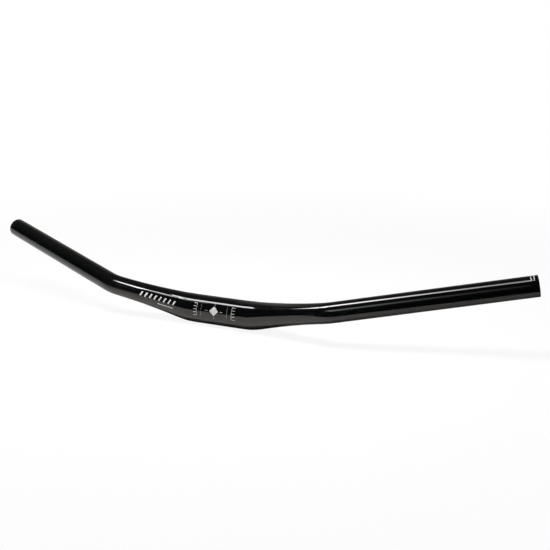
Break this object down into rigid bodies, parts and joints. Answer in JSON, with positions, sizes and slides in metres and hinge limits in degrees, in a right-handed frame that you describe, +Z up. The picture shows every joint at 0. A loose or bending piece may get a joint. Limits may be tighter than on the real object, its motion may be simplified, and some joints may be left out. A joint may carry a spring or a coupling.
{
  "type": "bicycle handlebar",
  "caption": "Bent, tapered metal tube with a thick middle for a stem clamp and straight swept-back ends for grips, hollow from end to end.",
  "frame": {"origin": "middle of the clamp section, on the tube's axis", "axes": "+X along the clamp axis towards the rider's left, +Y back towards the rider, +Z up"},
  "size_m": [0.6776, 0.0879, 0.0829],
  "materials": {
    "gloss_black_paint": "gloss",
    "white_print": "satin"
  },
  "bodies": {
    "root": {"handlebar": "gloss_black_paint"}
  },
  "joints": []
}
